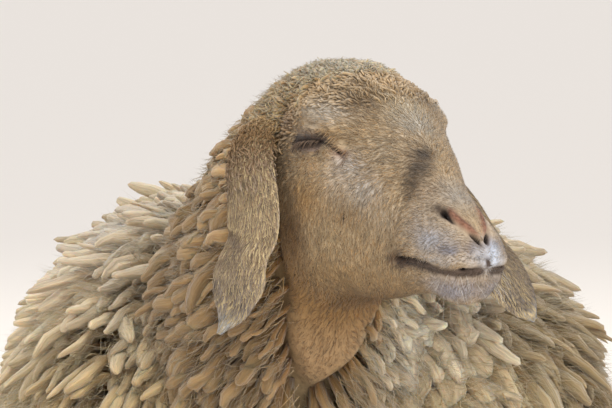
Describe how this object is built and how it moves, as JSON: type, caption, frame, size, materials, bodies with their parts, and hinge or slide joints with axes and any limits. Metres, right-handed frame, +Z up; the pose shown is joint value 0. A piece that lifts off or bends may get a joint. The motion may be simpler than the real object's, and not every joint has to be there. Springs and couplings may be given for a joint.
{
  "type": "sheep",
  "caption": "Full-fleeced lop-eared ewe, life-size still model, resting on the brisket with folded legs, head up and turned a little left, eyes nearly closed",
  "frame": {"origin": "on the floor, under the middle of the whole outline", "axes": "she faces -Y, her left side is towards +X, and +Z is up"},
  "size_m": [0.584, 1.0852, 0.587],
  "materials": {
    "face_hair": "short tan hair, grey-white round the mouth",
    "fleece_wool": "long cream to golden wool in hanging locks",
    "ear_hair": "short grey-tan hair with pale rims",
    "leg_hair": "wool above, short hair below the knee and hock",
    "eye_dark": "wet and dark",
    "hoof_horn": "dark horn"
  },
  "bodies": {
    "root": {"head": "face_hair", "neck": "fleece_wool", "trunk": "fleece_wool", "tail": "fleece_wool", "fore_leg_left": "leg_hair", "fore_leg_right": "leg_hair", "hind_leg_left": "leg_hair", "hind_leg_right": "leg_hair", "ear_left": "ear_hair", "ear_right": "ear_hair", "eye_left": "eye_dark", "eye_right": "eye_dark", "hoof_fore_left_outer": "hoof_horn", "hoof_fore_left_inner": "hoof_horn", "hoof_fore_right_outer": "hoof_horn", "hoof_fore_right_inner": "hoof_horn", "hoof_hind_left_outer": "hoof_horn", "hoof_hind_left_inner": "hoof_horn", "hoof_hind_right_outer": "hoof_horn", "hoof_hind_right_inner": "hoof_horn"}
  },
  "joints": []
}
